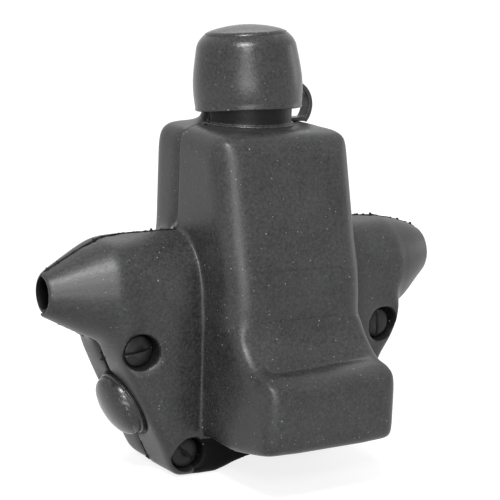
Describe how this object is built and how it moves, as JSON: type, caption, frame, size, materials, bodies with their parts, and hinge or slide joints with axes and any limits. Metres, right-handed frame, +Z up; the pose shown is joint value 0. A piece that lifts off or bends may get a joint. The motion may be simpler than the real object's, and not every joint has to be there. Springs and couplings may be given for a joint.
{
  "type": "insulation piercing connector",
  "caption": "Rubber-cased insulation piercing connector: a sealed tunnel for a main cable, slanted plugged tap ports and a capped clamp bolt on a tower.",
  "frame": {"origin": "on the main cable's axis, below the bolt, half-way between the two mouths", "axes": "+X along the main cable, +Y to the back, +Z up along the bolt"},
  "size_m": [0.1144, 0.0584, 0.1117],
  "materials": {
    "housing": "semi-matte moulded",
    "cap": "semi-matte moulded",
    "seal": "soft",
    "steel": "zinc plated",
    "zinc": "die cast",
    "shoe": "glass-filled moulding",
    "yoke": "as cast",
    "contact": "tinned",
    "screw": "blackened",
    "insert": "plain"
  },
  "bodies": {
    "housing": {"front_housing": "housing", "rear_housing": "housing", "cap_strap": "cap", "clamp_yoke": "yoke", "yoke_nut": "steel", "main_contact": "contact", "contact_seal": "seal", "left_tap_contact": "contact", "right_tap_contact": "contact", "threaded_inserts": "insert"},
    "shoe": {"pressure_shoe": "shoe", "thrust_disc": "steel"},
    "bolt": {"clamp_bolt": "steel", "shear_head": "zinc", "bolt_clip": "steel"},
    "cap": {"bolt_cap": "cap"},
    "left_plug": {"left_tap_plug": "cap"},
    "right_plug": {"right_tap_plug": "cap"},
    "upper_left_ring": {"upper_left_seal": "seal"},
    "upper_left_fixing": {"upper_left_screw": "screw"},
    "lower_left_ring": {"lower_left_seal": "seal"},
    "lower_left_fixing": {"lower_left_screw": "screw"},
    "upper_right_ring": {"upper_right_seal": "seal"},
    "upper_right_fixing": {"upper_right_screw": "screw"},
    "lower_right_ring": {"lower_right_seal": "seal"},
    "lower_right_fixing": {"lower_right_screw": "screw"}
  },
  "joints": [
    {"name": "shoe_press", "type": "slide", "parent": "housing", "child": "shoe", "axis": [0, 0, -1], "range_m": [0, 0.01]},
    {"name": "bolt_turn", "type": "hinge", "parent": "shoe", "child": "bolt", "pos_m": [0, 0, 0.03], "axis": [0, 0, -1], "range_deg": [0, 2880]},
    {"name": "cap_lift", "type": "slide", "parent": "housing", "child": "cap", "axis": [0, 0, 1], "range_m": [0, 0.01], "deforming": ["cap_strap"]},
    {"name": "left_plug_pull", "type": "slide", "parent": "housing", "child": "left_plug", "axis": [-0.8934, 0, -0.4493], "range_m": [0, 0.04]},
    {"name": "right_plug_pull", "type": "slide", "parent": "housing", "child": "right_plug", "axis": [0.8934, 0, -0.4493], "range_m": [0, 0.04]},
    {"name": "upper_left_back_out", "type": "slide", "parent": "housing", "child": "upper_left_ring", "axis": [0, -1, 0], "range_m": [0, 0.004]},
    {"name": "upper_left_turn", "type": "hinge", "parent": "upper_left_ring", "child": "upper_left_fixing", "pos_m": [-0.03597, 0, -0.01369], "axis": [0, -1, 0], "range_deg": [0, 1800]},
    {"name": "lower_left_back_out", "type": "slide", "parent": "housing", "child": "lower_left_ring", "axis": [0, -1, 0], "range_m": [0, 0.004]},
    {"name": "lower_left_turn", "type": "hinge", "parent": "lower_left_ring", "child": "lower_left_fixing", "pos_m": [-0.02213, 0, -0.04121], "axis": [0, -1, 0], "range_deg": [0, 1800]},
    {"name": "upper_right_back_out", "type": "slide", "parent": "housing", "child": "upper_right_ring", "axis": [0, -1, 0], "range_m": [0, 0.004]},
    {"name": "upper_right_turn", "type": "hinge", "parent": "upper_right_ring", "child": "upper_right_fixing", "pos_m": [0.03597, 0, -0.01369], "axis": [0, -1, 0], "range_deg": [0, 1800]},
    {"name": "lower_right_back_out", "type": "slide", "parent": "housing", "child": "lower_right_ring", "axis": [0, -1, 0], "range_m": [0, 0.004]},
    {"name": "lower_right_turn", "type": "hinge", "parent": "lower_right_ring", "child": "lower_right_fixing", "pos_m": [0.02213, 0, -0.04121], "axis": [0, -1, 0], "range_deg": [0, 1800]}
  ],
  "couplings": [
    {"joint": "bolt_turn", "follows": "shoe_press", "rad_per_m": 5026.5},
    {"joint": "upper_left_turn", "follows": "upper_left_back_out", "rad_per_m": 7854},
    {"joint": "lower_left_turn", "follows": "lower_left_back_out", "rad_per_m": 7854},
    {"joint": "upper_right_turn", "follows": "upper_right_back_out", "rad_per_m": 7854},
    {"joint": "lower_right_turn", "follows": "lower_right_back_out", "rad_per_m": 7854}
  ]
}
